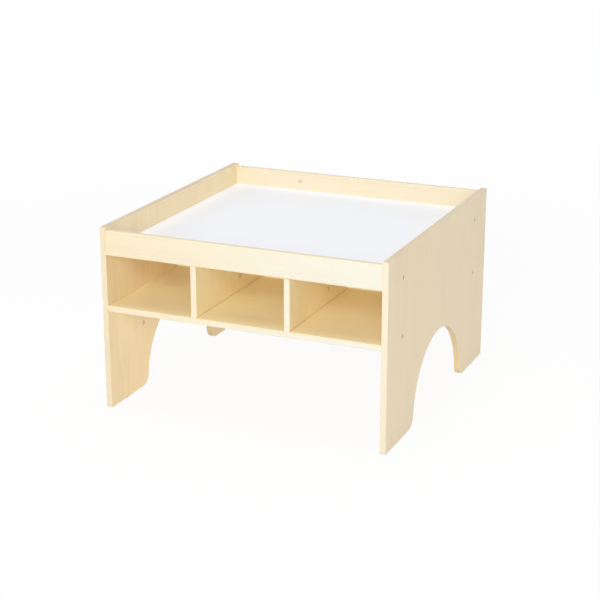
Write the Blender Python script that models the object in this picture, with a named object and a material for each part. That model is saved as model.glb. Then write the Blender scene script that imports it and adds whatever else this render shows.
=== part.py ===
"""Square play table for small children, with a recessed top and open cubbies on two sides.

Two end panels with arched feet carry everything. Rails, a top board and a shelf run between
them, dividers and a spine make the cubbies, and furniture bolts with barrel nuts, dowels and
nailed glides hold it together. Lengths are in metres. X runs from left to right, Y from front
to rear and Z upwards. The origin is on the floor, under the middle of the table.
"""

import math

import bmesh
import bpy
from mathutils import Matrix, Vector

MM = 0.001

# Overall size
TABLE_WIDTH = 800 * MM
TABLE_DEPTH = 800 * MM
PANEL_HEIGHT = 502 * MM
BOARD_THICKNESS = 16 * MM
TOP_BOARD_THICKNESS = 15 * MM

# Heights that set the lip, the play surface and the shelf, the last above the panel's foot
RAIL_DROP = 7 * MM
LIP_HEIGHT = 52 * MM
SHELF_HEIGHT = 289 * MM

# Arch in the end panels, its centre above the panel's foot
ARCH_RADIUS = 196 * MM
ARCH_CENTRE_HEIGHT = 9 * MM
FOOT_FILLET_RADIUS = 33 * MM
PANEL_TOP_CORNER_RADIUS = 3 * MM
PANEL_FOOT_CORNER_RADIUS = 5 * MM

# Softened edges of the boards
EDGE_RADIUS = 2 * MM
INNER_EDGE_RADIUS = 0.5 * MM
EDGE_STEPS = 2

# Clearances, and how far a drill starts outside the face it enters
JOINT_GAP = 0.3 * MM
HOLE_END_GAP = 0.3 * MM
BOLT_HOLE_CLEARANCE = 0.3 * MM
DRILL_OVERRUN = 5 * MM

# Furniture bolts, flat heads with a hexagon socket
BOLT_SHANK_DIAMETER = 6 * MM
BOLT_HEAD_DIAMETER = 12 * MM
BOLT_HEAD_HEIGHT = 3 * MM
BOLT_HEAD_SINK = 0.4 * MM
BOLT_HEAD_CHAMFER = 0.6 * MM
BOLT_SOCKET_WIDTH = 5 * MM
BOLT_SOCKET_DEPTH = 2 * MM
BOLT_TIP_PAST_NUT = 2 * MM
BOLT_HOLE_PAST_TIP = 4 * MM
BOLT_SETBACK = 107 * MM

# Barrel nuts
NUT_DIAMETER = 10 * MM
NUT_LENGTH = 11 * MM
NUT_CHAMFER = 0.5 * MM
NUT_SLOT_WIDTH = 1.2 * MM
NUT_SLOT_DEPTH = 1.2 * MM
NUT_SETBACK = 30 * MM
DIVIDER_NUT_HEIGHT = 41 * MM
DIVIDER_BOLT_SETBACK = 260 * MM

# Fluted hardwood dowels
DOWEL_DIAMETER = 8 * MM
DOWEL_CHAMFER = 0.8 * MM
DOWEL_DEPTH_IN_FACE = 10 * MM
DOWEL_DEPTH_IN_END = 20 * MM
CROSS_DOWEL_DEPTH_IN_DIVIDER = 14 * MM
RAIL_DOWEL_INSET = 17 * MM
DIVIDER_DOWEL_SETBACK = 45 * MM

# Nailed glides under the feet
GLIDE_DIAMETER = 14 * MM
GLIDE_HEIGHT = 3 * MM
GLIDE_EDGE_RADIUS = 1.5 * MM
GLIDE_NAIL_DIAMETER = 2.6 * MM
GLIDE_NAIL_LENGTH = 14 * MM
GLIDE_NAIL_POINT = 3 * MM

# Screw-in sleeves, one in the left panel and one in the rear rail
SLEEVE_FLANGE_DIAMETER = 12 * MM
SLEEVE_FLANGE_HEIGHT = 1 * MM
SLEEVE_BODY_DIAMETER = 9 * MM
SLEEVE_BORE_DIAMETER = 6 * MM
SLEEVE_LENGTH = 10 * MM
PANEL_SLEEVE_SETBACK = 185 * MM
PANEL_SLEEVE_HEIGHT = 183 * MM
RAIL_SLEEVE_SETBACK = 226 * MM

# Smoothness of round shapes
ARCH_STEPS = 48
FILLET_STEPS = 6
CORNER_STEPS = 3
ROUND_SIDES = 16
SLIM_SIDES = 12
SLIM_DIAMETER = 9 * MM
SMOOTH_ANGLE = math.radians(50)

# Places worked out from the sizes above
HALF_WIDTH = TABLE_WIDTH / 2
HALF_DEPTH = TABLE_DEPTH / 2
INNER_X = HALF_WIDTH - BOARD_THICKNESS
PANEL_FOOT_Z = GLIDE_HEIGHT + JOINT_GAP
PANEL_TOP_Z = PANEL_FOOT_Z + PANEL_HEIGHT
RAIL_TOP_Z = PANEL_TOP_Z - RAIL_DROP
PLAY_SURFACE_Z = RAIL_TOP_Z - LIP_HEIGHT
BAY_TOP_Z = PLAY_SURFACE_Z - TOP_BOARD_THICKNESS
SHELF_TOP_Z = PANEL_FOOT_Z + SHELF_HEIGHT
SHELF_BOTTOM_Z = SHELF_TOP_Z - BOARD_THICKNESS
BAY_WIDTH = (TABLE_WIDTH - 4 * BOARD_THICKNESS) / 3
DIVIDER_X = BAY_WIDTH / 2 + BOARD_THICKNESS / 2
BOLT_Y = HALF_DEPTH - BOLT_SETBACK
SHANK_HOLE = BOLT_SHANK_DIAMETER + 2 * BOLT_HOLE_CLEARANCE
HEAD_POCKET = BOLT_HEAD_SINK + BOLT_HEAD_HEIGHT + JOINT_GAP

AXIS_TURNS = {
    "+X": Matrix.Rotation(math.radians(90), 4, "Y"),
    "-X": Matrix.Rotation(math.radians(-90), 4, "Y"),
    "+Y": Matrix.Rotation(math.radians(-90), 4, "X"),
    "-Y": Matrix.Rotation(math.radians(90), 4, "X"),
    "+Z": Matrix.Identity(4),
    "-Z": Matrix.Rotation(math.radians(180), 4, "X"),
}
SIDES = {"left": -1, "right": 1}
ENDS = {"front": -1, "rear": 1}


def finish(name, colour, roughness, metallic=0.0):
    """Make a plain material with one colour, roughness and metal value."""
    material = bpy.data.materials.new(name)
    material.use_nodes = True
    shader = material.node_tree.nodes["Principled BSDF"]
    shader.inputs["Base Color"].default_value = (*colour, 1.0)
    shader.inputs["Roughness"].default_value = roughness
    shader.inputs["Metallic"].default_value = metallic
    return material


def add_object(name, mesh, material=None):
    """Put a mesh in the scene as a named object with its material."""
    piece = bpy.data.objects.new(name, mesh)
    bpy.context.scene.collection.objects.link(piece)
    if material is not None:
        mesh.materials.clear()
        mesh.materials.append(material)
    return piece


def mesh_from(bm, name, smooth=False):
    """Turn a bmesh into a mesh, smooth on its round faces if asked."""
    bmesh.ops.recalc_face_normals(bm, faces=bm.faces)
    mesh = bpy.data.meshes.new(name)
    bm.to_mesh(mesh)
    bm.free()
    if smooth:
        mesh.shade_smooth()
        mesh.set_sharp_from_angle(angle=SMOOTH_ANGLE)
    return mesh


def round_edges(bm, edges, radius):
    """Soften the given edges of a board to a small radius."""
    bmesh.ops.bevel(
        bm,
        geom=list(edges),
        offset=radius,
        offset_type="OFFSET",
        segments=EDGE_STEPS,
        profile=0.5,
        affect="EDGES",
        clamp_overlap=True,
    )


def edges_along(bm, axes, y_side=0):
    """List a box's edges along the given axes, on one Y side only where a side is given."""
    found = []
    for edge in bm.edges:
        run = edge.verts[1].co - edge.verts[0].co
        kept_side = edge.verts[0].co.y * y_side >= 0.0
        if kept_side and any(abs(run["XYZ".index(axis)]) > 0.99 * run.length for axis in axes):
            found.append(edge)
    return found


def box(size):
    """Make a box of a given size, centred on its own origin."""
    bm = bmesh.new()
    bmesh.ops.create_cube(bm, size=1.0)
    bmesh.ops.scale(bm, vec=size, verts=bm.verts)
    return bm


def board(name, low, high, material, rounded_axes="X", y_side=0, radius=EDGE_RADIUS):
    """Make a board between two opposite corners, with its edges along some axes rounded."""
    low = Vector(low)
    high = Vector(high)
    bm = box(high - low)
    round_edges(bm, edges_along(bm, rounded_axes, y_side), radius)
    piece = add_object(name, mesh_from(bm, name, smooth=True), material)
    piece.location = (low + high) / 2
    return piece


def arc(centre, radius, start, end, steps):
    """List the points of an arc from one angle to another, both ends included."""
    points = []
    for step in range(steps + 1):
        angle = start + (end - start) * step / steps
        points.append((centre[0] + radius * math.cos(angle), centre[1] + radius * math.sin(angle)))
    return points


def foot_fillet_centre_y():
    """Give the distance from the middle to the centre of the fillet that ends the arch."""
    reach = ARCH_RADIUS + FOOT_FILLET_RADIUS
    rise = FOOT_FILLET_RADIUS - ARCH_CENTRE_HEIGHT
    return math.sqrt(reach * reach - rise * rise)


def end_panel_outline():
    """Draw the end panel as points in depth and height, with its foot at height zero."""
    quarter = math.pi / 2
    top = PANEL_TOP_CORNER_RADIUS
    foot = PANEL_FOOT_CORNER_RADIUS
    fillet = FOOT_FILLET_RADIUS
    fillet_y = foot_fillet_centre_y()
    lean = math.atan2(fillet - ARCH_CENTRE_HEIGHT, fillet_y)
    outer = HALF_DEPTH
    points = arc((outer - foot, foot), foot, -quarter, 0.0, CORNER_STEPS)
    points += arc((outer - top, PANEL_HEIGHT - top), top, 0.0, quarter, CORNER_STEPS)
    points += arc((top - outer, PANEL_HEIGHT - top), top, quarter, 2 * quarter, CORNER_STEPS)
    points += arc((foot - outer, foot), foot, 2 * quarter, 3 * quarter, CORNER_STEPS)
    points += arc((-fillet_y, fillet), fillet, -quarter, lean, FILLET_STEPS)
    points += arc((0.0, ARCH_CENTRE_HEIGHT), ARCH_RADIUS, math.pi - lean, lean, ARCH_STEPS)[1:-1]
    points += arc((fillet_y, fillet), fillet, math.pi - lean, math.pi + quarter, FILLET_STEPS)
    return points


def end_panel(name, side, material):
    """Make an end panel: the outline given its thickness, all its long edges softened."""
    half = BOARD_THICKNESS / 2
    bm = bmesh.new()
    verts = [bm.verts.new((-half, y, z)) for y, z in end_panel_outline()]
    face = bm.faces.new(verts)
    pushed = bmesh.ops.extrude_face_region(bm, geom=[face])
    moved = [item for item in pushed["geom"] if isinstance(item, bmesh.types.BMVert)]
    bmesh.ops.translate(bm, vec=(BOARD_THICKNESS, 0, 0), verts=moved)
    rims = [edge for edge in bm.edges if abs(edge.verts[0].co.x - edge.verts[1].co.x) < half]
    round_edges(bm, rims, EDGE_RADIUS)
    piece = add_object(name, mesh_from(bm, name, smooth=True), material)
    piece.location = (side * (INNER_X + half), 0.0, PANEL_FOOT_Z)
    return piece


def sides_for(diameter):
    """Give the number of flat sides that stand for a round piece or hole."""
    return SLIM_SIDES if diameter < SLIM_DIAMETER else ROUND_SIDES


def turned(profile):
    """Revolve a closed profile of radius and height points about the Z axis."""
    sides = sides_for(2 * max(radius for radius, height in profile))
    bm = bmesh.new()
    rings = []
    for radius, height in profile:
        if radius == 0.0:
            rings.append([bm.verts.new((0.0, 0.0, height))])
            continue
        ring = []
        for side in range(sides):
            angle = 2 * math.pi * side / sides
            ring.append(bm.verts.new((radius * math.cos(angle), radius * math.sin(angle), height)))
        rings.append(ring)
    pairs = list(zip(rings, rings[1:]))
    if len(rings[0]) > 1:
        pairs.append((rings[-1], rings[0]))
    for lower, upper in pairs:
        for side in range(sides):
            after = (side + 1) % sides
            if len(lower) == 1:
                bm.faces.new((lower[0], upper[side], upper[after]))
            elif len(upper) == 1:
                bm.faces.new((lower[side], lower[after], upper[0]))
            else:
                bm.faces.new((lower[side], lower[after], upper[after], upper[side]))
    return bm


def drill(piece, label, holes):
    """Drill a piece: each hole has its mouth's centre, its way in, its depth and diameter."""
    bm = bmesh.new()
    for mouth, way_in, depth, diameter in holes:
        centre = Matrix.Translation((0.0, 0.0, (depth - DRILL_OVERRUN) / 2))
        bmesh.ops.create_cone(
            bm,
            cap_ends=True,
            segments=sides_for(diameter),
            radius1=diameter / 2,
            radius2=diameter / 2,
            depth=depth + DRILL_OVERRUN,
            matrix=Matrix.Translation(Vector(mouth)) @ AXIS_TURNS[way_in] @ centre,
        )
    cut(piece, label, mesh_from(bm, label))


def cut(piece, label, mesh):
    """Take a cutter's mesh, in world places, away from a piece."""
    cutter = add_object(label, mesh)
    cutter.hide_render = True
    cutter.display_type = "WIRE"
    modifier = piece.modifiers.new(label, "BOOLEAN")
    modifier.operation = "DIFFERENCE"
    modifier.solver = "EXACT"
    modifier.object = cutter


def settled_mesh(piece):
    """Apply a piece's cuts and give its mesh, so that copies can share it."""
    bpy.context.view_layer.update()
    graph = bpy.context.evaluated_depsgraph_get()
    mesh = bpy.data.meshes.new_from_object(piece.evaluated_get(graph))
    mesh.name = piece.name
    cutters = [modifier.object for modifier in piece.modifiers]
    for item in [piece, *cutters]:
        bpy.data.objects.remove(item, do_unlink=True)
    return mesh


def place(name, mesh, material, point, direction):
    """Put a copy of a turned piece at a point, its own Z axis along a direction."""
    piece = add_object(name, mesh, material)
    piece.matrix_world = Matrix.Translation(Vector(point)) @ AXIS_TURNS[direction]
    return piece


def bolt_mesh(length):
    """Make a bolt with its head's outer face at zero and its shank along +Z."""
    head = BOLT_HEAD_DIAMETER / 2
    shank = BOLT_SHANK_DIAMETER / 2
    profile = [
        (0.0, 0.0),
        (head - BOLT_HEAD_CHAMFER, 0.0),
        (head, BOLT_HEAD_CHAMFER),
        (head, BOLT_HEAD_HEIGHT),
        (shank, BOLT_HEAD_HEIGHT),
        (shank, length),
        (0.0, length),
    ]
    blank = add_object("bolt_blank", mesh_from(turned(profile), "bolt", smooth=True))
    socket = bmesh.new()
    corner = BOLT_SOCKET_WIDTH / math.sqrt(3)
    bmesh.ops.create_cone(
        socket,
        cap_ends=True,
        segments=6,
        radius1=corner,
        radius2=corner,
        depth=2 * BOLT_SOCKET_DEPTH,
    )
    cut(blank, "bolt_socket_cutter", mesh_from(socket, "bolt_socket_cutter"))
    return settled_mesh(blank)


def barrel_nut_mesh():
    """Make a barrel nut centred on its cross bore, with the slotted end at +Z."""
    half = NUT_LENGTH / 2
    radius = NUT_DIAMETER / 2
    profile = [
        (0.0, -half),
        (radius, -half),
        (radius, half - NUT_CHAMFER),
        (radius - NUT_CHAMFER, half),
        (0.0, half),
    ]
    blank = add_object("nut_blank", mesh_from(turned(profile), "barrel_nut", smooth=True))
    mouth = (-NUT_DIAMETER / 2, 0.0, 0.0)
    drill(blank, "nut_bore_cutter", [(mouth, "+X", NUT_DIAMETER + DRILL_OVERRUN, SHANK_HOLE)])
    slot = box((2 * NUT_DIAMETER, NUT_SLOT_WIDTH, 2 * NUT_SLOT_DEPTH))
    bmesh.ops.translate(slot, vec=(0.0, 0.0, half), verts=slot.verts)
    cut(blank, "nut_slot_cutter", mesh_from(slot, "nut_slot_cutter"))
    return settled_mesh(blank)


def dowel_mesh(length):
    """Make a dowel from height zero upwards, with both ends chamfered."""
    radius = DOWEL_DIAMETER / 2
    profile = [
        (0.0, 0.0),
        (radius - DOWEL_CHAMFER, 0.0),
        (radius, DOWEL_CHAMFER),
        (radius, length - DOWEL_CHAMFER),
        (radius - DOWEL_CHAMFER, length),
        (0.0, length),
    ]
    return mesh_from(turned(profile), "dowel", smooth=True)


def glide_mesh():
    """Make a glide with its pad from zero down to the floor and its nail upwards."""
    pad = GLIDE_DIAMETER / 2
    nail = GLIDE_NAIL_DIAMETER / 2
    edge = GLIDE_EDGE_RADIUS
    lower = arc((pad - edge, edge - GLIDE_HEIGHT), edge, -math.pi / 2, 0.0, CORNER_STEPS)
    profile = [(0.0, -GLIDE_HEIGHT)]
    profile += lower
    profile += [
        (pad, 0.0),
        (nail, 0.0),
        (nail, GLIDE_NAIL_LENGTH - GLIDE_NAIL_POINT),
        (0.0, GLIDE_NAIL_LENGTH),
    ]
    return mesh_from(turned(profile), "glide", smooth=True)


def sleeve_mesh():
    """Make a flanged sleeve with its flange's outer face at zero and its body along -Z."""
    flange = SLEEVE_FLANGE_DIAMETER / 2
    body = SLEEVE_BODY_DIAMETER / 2
    bore = SLEEVE_BORE_DIAMETER / 2
    profile = [
        (bore, 0.0),
        (bore, -SLEEVE_LENGTH),
        (body, -SLEEVE_LENGTH),
        (body, -SLEEVE_FLANGE_HEIGHT),
        (flange, -SLEEVE_FLANGE_HEIGHT),
        (flange, 0.0),
    ]
    return mesh_from(turned(profile), "sleeve", smooth=True)


def hole_round(diameter):
    """Give the hole that a round piece fits with a joint gap all round."""
    return diameter + 2 * JOINT_GAP


def nut_hole_depth(thickness):
    """Give the depth of a barrel nut's hole, so that the nut lies in the board's middle."""
    return thickness / 2 + NUT_LENGTH / 2 + HOLE_END_GAP


def bolt_length(nut_setback):
    """Give the length of a bolt through one board to a nut set back in the next."""
    return BOARD_THICKNESS - BOLT_HEAD_SINK + nut_setback + NUT_DIAMETER / 2 + BOLT_TIP_PAST_NUT


def bolt_bore_depth(nut_setback):
    """Give the depth of the bore in the board that holds the nut, past the bolt's tip."""
    return nut_setback + NUT_DIAMETER / 2 + BOLT_TIP_PAST_NUT + BOLT_HOLE_PAST_TIP


for leftover in list(bpy.data.objects):
    bpy.data.objects.remove(leftover, do_unlink=True)

maple = finish("light_maple_board", (0.83, 0.69, 0.47), 0.42)
white = finish("white_laminate", (0.87, 0.88, 0.90), 0.30)
zinc = finish("zinc_steel", (0.62, 0.62, 0.60), 0.35, 1.0)
beech = finish("beech_dowel", (0.62, 0.43, 0.25), 0.60)
plastic = finish("glide_plastic", (0.30, 0.22, 0.14), 0.50)

# Boards

panels = {}
for side_name, side in SIDES.items():
    panels[side_name] = end_panel(side_name + "_end_panel", side, maple)

rails = {}
for end_name, end in ENDS.items():
    reach_y = sorted((end * HALF_DEPTH, end * (HALF_DEPTH - BOARD_THICKNESS)))
    rails[end_name] = board(
        end_name + "_rail",
        (JOINT_GAP - INNER_X, reach_y[0], BAY_TOP_Z),
        (INNER_X - JOINT_GAP, reach_y[1], RAIL_TOP_Z),
        maple,
    )

top_board = board(
    "top_board",
    (JOINT_GAP - INNER_X, BOARD_THICKNESS + JOINT_GAP - HALF_DEPTH, BAY_TOP_Z),
    (INNER_X - JOINT_GAP, HALF_DEPTH - BOARD_THICKNESS - JOINT_GAP, PLAY_SURFACE_Z),
    white,
    rounded_axes="XY",
    radius=INNER_EDGE_RADIUS,
)

shelf = board(
    "shelf",
    (JOINT_GAP - INNER_X, -HALF_DEPTH, SHELF_BOTTOM_Z),
    (INNER_X - JOINT_GAP, HALF_DEPTH, SHELF_TOP_Z),
    maple,
)

upright_low_z = SHELF_TOP_Z + JOINT_GAP
upright_high_z = BAY_TOP_Z - JOINT_GAP
spine = board(
    "spine_panel",
    (JOINT_GAP - INNER_X, -BOARD_THICKNESS / 2, upright_low_z),
    (INNER_X - JOINT_GAP, BOARD_THICKNESS / 2, upright_high_z),
    maple,
    radius=INNER_EDGE_RADIUS,
)

dividers = {}
for end_name, end in ENDS.items():
    for side_name, side in SIDES.items():
        reach_y = sorted((end * HALF_DEPTH, end * (BOARD_THICKNESS / 2 + JOINT_GAP)))
        dividers[end_name, side_name] = board(
            end_name + "_" + side_name + "_divider",
            (side * DIVIDER_X - BOARD_THICKNESS / 2, reach_y[0], upright_low_z),
            (side * DIVIDER_X + BOARD_THICKNESS / 2, reach_y[1], upright_high_z),
            maple,
            rounded_axes="Z",
            y_side=end,
        )

# Furniture bolts through the end panels into barrel nuts in the top board and the shelf

end_bolt = bolt_mesh(bolt_length(NUT_SETBACK))
nut = barrel_nut_mesh()
levels = {
    "top": (top_board, BAY_TOP_Z, TOP_BOARD_THICKNESS),
    "shelf": (shelf, SHELF_BOTTOM_Z, BOARD_THICKNESS),
}
pockets = {"left": [], "right": []}
bores = {"left": [], "right": []}
for level_name, (carrier, underside_z, thickness) in levels.items():
    z = underside_z + thickness / 2
    end_bores = []
    nut_holes = []
    for side_name, side in SIDES.items():
        inward = "-X" if side > 0 else "+X"
        nut_x = side * (INNER_X - NUT_SETBACK)
        for end_name, end in ENDS.items():
            y = end * BOLT_Y
            face = (side * HALF_WIDTH, y, z)
            pockets[side_name].append((face, inward, HEAD_POCKET, hole_round(BOLT_HEAD_DIAMETER)))
            bores[side_name].append((face, inward, BOARD_THICKNESS + DRILL_OVERRUN, SHANK_HOLE))
            end_bores.append(((side * INNER_X, y, z), inward, bolt_bore_depth(NUT_SETBACK), SHANK_HOLE))
            mouth = (nut_x, y, underside_z)
            nut_holes.append((mouth, "+Z", nut_hole_depth(thickness), hole_round(NUT_DIAMETER)))
            label = side_name + "_" + level_name + "_" + end_name
            head_face = (side * (HALF_WIDTH - BOLT_HEAD_SINK), y, z)
            place(label + "_bolt", end_bolt, zinc, head_face, inward)
            place(label + "_nut", nut, zinc, (nut_x, y, z), "-Z")
    drill(carrier, level_name + "_end_bore_cutter", end_bores)
    drill(carrier, level_name + "_nut_hole_cutter", nut_holes)

for side_name, panel in panels.items():
    drill(panel, side_name + "_pocket_cutter", pockets[side_name])
    drill(panel, side_name + "_bore_cutter", bores[side_name])

# Bolts from below the shelf, each into a barrel nut in a divider

divider_bolt = bolt_mesh(bolt_length(DIVIDER_NUT_HEIGHT))
shelf_pockets = []
shelf_bores = []
for (end_name, side_name), divider in dividers.items():
    x = SIDES[side_name] * DIVIDER_X
    y = ENDS[end_name] * (HALF_DEPTH - DIVIDER_BOLT_SETBACK)
    nut_z = SHELF_TOP_Z + DIVIDER_NUT_HEIGHT
    mouth = (x, y, SHELF_BOTTOM_Z)
    shelf_pockets.append((mouth, "+Z", HEAD_POCKET, hole_round(BOLT_HEAD_DIAMETER)))
    shelf_bores.append((mouth, "+Z", BOARD_THICKNESS + DRILL_OVERRUN, SHANK_HOLE))
    label = divider.name
    foot_bore = ((x, y, SHELF_TOP_Z), "+Z", bolt_bore_depth(DIVIDER_NUT_HEIGHT), SHANK_HOLE)
    drill(divider, label + "_bore_cutter", [foot_bore])
    side_mouth = (x + BOARD_THICKNESS / 2, y, nut_z)
    side_hole = (side_mouth, "-X", nut_hole_depth(BOARD_THICKNESS), hole_round(NUT_DIAMETER))
    drill(divider, label + "_nut_hole_cutter", [side_hole])
    place(label + "_bolt", divider_bolt, zinc, (x, y, SHELF_BOTTOM_Z + BOLT_HEAD_SINK), "+Z")
    place(label + "_nut", nut, zinc, (x, y, nut_z), "+X")
drill(shelf, "shelf_pocket_cutter", shelf_pockets)
drill(shelf, "shelf_bore_cutter", shelf_bores)

# Dowels between the rails and the end panels

dowel = dowel_mesh(DOWEL_DEPTH_IN_FACE + DOWEL_DEPTH_IN_END)
dowel_hole = hole_round(DOWEL_DIAMETER)
face_depth = DOWEL_DEPTH_IN_FACE + HOLE_END_GAP
end_depth = DOWEL_DEPTH_IN_END + HOLE_END_GAP
dowel_levels = {"lower": BAY_TOP_Z + RAIL_DOWEL_INSET, "upper": RAIL_TOP_Z - RAIL_DOWEL_INSET}
panel_holes = {"left": [], "right": []}
for end_name, rail in rails.items():
    y = ENDS[end_name] * (HALF_DEPTH - BOARD_THICKNESS / 2)
    rail_holes = []
    for side_name, side in SIDES.items():
        outward = "+X" if side > 0 else "-X"
        inward = "-X" if side > 0 else "+X"
        for level_name, z in dowel_levels.items():
            joint = (side * INNER_X, y, z)
            rail_holes.append((joint, inward, end_depth, dowel_hole))
            panel_holes[side_name].append((joint, outward, face_depth, dowel_hole))
            tip = (side * (INNER_X - DOWEL_DEPTH_IN_END), y, z)
            place(end_name + "_rail_" + side_name + "_" + level_name + "_dowel", dowel, beech, tip, outward)
    drill(rail, end_name + "_rail_dowel_cutter", rail_holes)
for side_name, panel in panels.items():
    drill(panel, side_name + "_dowel_cutter", panel_holes[side_name])

# Dowels at the foot and the head of each divider

shelf_dowel_holes = []
top_dowel_holes = []
for (end_name, side_name), divider in dividers.items():
    x = SIDES[side_name] * DIVIDER_X
    y = ENDS[end_name] * (HALF_DEPTH - DIVIDER_DOWEL_SETBACK)
    foot = (x, y, SHELF_TOP_Z)
    crown = (x, y, BAY_TOP_Z)
    shelf_dowel_holes.append((foot, "-Z", face_depth, dowel_hole))
    top_dowel_holes.append((crown, "+Z", face_depth, dowel_hole))
    own_holes = [(foot, "+Z", end_depth, dowel_hole), (crown, "-Z", end_depth, dowel_hole)]
    drill(divider, divider.name + "_dowel_cutter", own_holes)
    place(divider.name + "_foot_dowel", dowel, beech, (x, y, SHELF_TOP_Z - DOWEL_DEPTH_IN_FACE), "+Z")
    place(divider.name + "_head_dowel", dowel, beech, (x, y, BAY_TOP_Z + DOWEL_DEPTH_IN_FACE), "-Z")
drill(shelf, "shelf_dowel_cutter", shelf_dowel_holes)
drill(top_board, "top_dowel_cutter", top_dowel_holes)

# Cross dowels through the spine, each into a front and a rear divider

cross_reach = BOARD_THICKNESS / 2 + CROSS_DOWEL_DEPTH_IN_DIVIDER
cross_dowel = dowel_mesh(2 * cross_reach)
cross_z = (upright_low_z + upright_high_z) / 2
spine_holes = []
for side_name, side in SIDES.items():
    x = side * DIVIDER_X
    spine_mouth = (x, -BOARD_THICKNESS / 2, cross_z)
    spine_holes.append((spine_mouth, "+Y", BOARD_THICKNESS + DRILL_OVERRUN, dowel_hole))
    place(side_name + "_cross_dowel", cross_dowel, beech, (x, -cross_reach, cross_z), "+Y")
    for end_name, end in ENDS.items():
        way_in = "+Y" if end > 0 else "-Y"
        mouth = (x, end * BOARD_THICKNESS / 2, cross_z)
        depth = CROSS_DOWEL_DEPTH_IN_DIVIDER + HOLE_END_GAP
        divider = dividers[end_name, side_name]
        drill(divider, divider.name + "_cross_cutter", [(mouth, way_in, depth, dowel_hole)])
drill(spine, "spine_cross_cutter", spine_holes)

# Glides nailed under the middle of each foot

glide = glide_mesh()
foot_y = (foot_fillet_centre_y() + HALF_DEPTH - PANEL_FOOT_CORNER_RADIUS) / 2
for side_name, side in SIDES.items():
    nail_holes = []
    x = side * (HALF_WIDTH - BOARD_THICKNESS / 2)
    for end_name, end in ENDS.items():
        mouth = (x, end * foot_y, PANEL_FOOT_Z)
        depth = GLIDE_NAIL_LENGTH + HOLE_END_GAP
        nail_holes.append((mouth, "+Z", depth, hole_round(GLIDE_NAIL_DIAMETER)))
        place(end_name + "_" + side_name + "_glide", glide, plastic, (x, end * foot_y, GLIDE_HEIGHT), "+Z")
    drill(panels[side_name], side_name + "_nail_cutter", nail_holes)

# Screw-in sleeves in the left panel's inner face and the rear rail's inner face

sleeve = sleeve_mesh()
panel_sleeve_face = (-INNER_X, PANEL_SLEEVE_SETBACK - HALF_DEPTH, PANEL_FOOT_Z + PANEL_SLEEVE_HEIGHT)
rail_sleeve_face = (
    RAIL_SLEEVE_SETBACK - HALF_WIDTH,
    HALF_DEPTH - BOARD_THICKNESS,
    PLAY_SURFACE_Z + LIP_HEIGHT / 2,
)
sleeves = [
    ("left_panel_insert", panels["left"], panel_sleeve_face, "+X", "-X"),
    ("rear_rail_insert", rails["rear"], rail_sleeve_face, "-Y", "+Y"),
]
for name, carrier, face, outward, way_in in sleeves:
    flange_depth = SLEEVE_FLANGE_HEIGHT + JOINT_GAP
    body_depth = SLEEVE_LENGTH + HOLE_END_GAP
    flange_hole = (face, way_in, flange_depth, hole_round(SLEEVE_FLANGE_DIAMETER))
    body_hole = (face, way_in, body_depth, hole_round(SLEEVE_BODY_DIAMETER))
    drill(carrier, name + "_flange_cutter", [flange_hole])
    drill(carrier, name + "_body_cutter", [body_hole])
    place(name, sleeve, zinc, face, outward)
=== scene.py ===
# %% [markdown]
# A square play table for small children, dressed cell by cell.
# The real table is a case of pale maple boards: two end panels with arched feet, a rail at the
# front and rear, a shelf, a spine with four dividers that make six cubbies, and a white laminated
# board set down inside the rim. Furniture bolts, barrel nuts and dowels hold it together.
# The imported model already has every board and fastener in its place, so it is loaded as a fixed
# frame, and each finer piece is built in the same metres round it. Nothing has to be fitted later.

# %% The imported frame
import math

import bmesh
import bpy
from mathutils import Matrix, Vector


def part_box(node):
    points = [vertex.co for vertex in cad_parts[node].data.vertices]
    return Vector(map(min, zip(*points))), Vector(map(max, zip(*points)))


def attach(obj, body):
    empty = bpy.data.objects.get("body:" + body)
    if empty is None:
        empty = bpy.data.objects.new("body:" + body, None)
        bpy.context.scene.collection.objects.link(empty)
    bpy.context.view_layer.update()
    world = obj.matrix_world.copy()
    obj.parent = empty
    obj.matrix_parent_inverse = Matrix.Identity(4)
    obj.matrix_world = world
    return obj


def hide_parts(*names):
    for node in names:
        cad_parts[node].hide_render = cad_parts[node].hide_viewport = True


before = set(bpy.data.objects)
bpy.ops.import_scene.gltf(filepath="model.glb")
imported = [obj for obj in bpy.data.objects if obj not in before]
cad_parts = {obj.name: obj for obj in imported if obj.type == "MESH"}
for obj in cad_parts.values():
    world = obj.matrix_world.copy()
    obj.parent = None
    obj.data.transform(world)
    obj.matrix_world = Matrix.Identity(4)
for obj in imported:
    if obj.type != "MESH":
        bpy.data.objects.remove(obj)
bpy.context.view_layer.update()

MM = 0.001
SCENE = bpy.context.scene
print("Nodes in the frame:", len(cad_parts))

# %% [markdown]
# The camera. The table was photographed from the front, a little to its right and from above, with
# a long lens. The corners of the boards in the picture fix the place, the direction and the focal
# length, which is measured in pixels of a picture 600 pixels wide. A lens in millimetres follows
# from it and from the width of Blender's sensor, so the camera needs no shift.

# %% Camera
PICTURE_WIDTH = 600
FOCAL_LENGTH_IN_PIXELS = 1531.3
SENSOR_WIDTH = 36.0
CAMERA_PLACE = (1.6058, -3.7039, 1.5757)
CAMERA_AZIMUTH = math.radians(23.527)
CAMERA_ELEVATION = math.radians(18.337)


def put_in_scene(name, data):
    """Make an object of a mesh, a lamp or a camera, and put it in the scene."""
    thing = bpy.data.objects.new(name, data)
    SCENE.collection.objects.link(thing)
    return thing


camera_data = bpy.data.cameras.new("camera")
camera_data.sensor_width = SENSOR_WIDTH
camera_data.lens = FOCAL_LENGTH_IN_PIXELS / PICTURE_WIDTH * SENSOR_WIDTH
camera = put_in_scene("camera", camera_data)
camera.location = CAMERA_PLACE
camera.rotation_euler = (math.pi / 2 - CAMERA_ELEVATION, 0.0, CAMERA_AZIMUTH)
SCENE.camera = camera
SCENE.view_settings.view_transform = "Standard"
print("Lens in mm:", round(camera_data.lens, 2))

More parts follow.
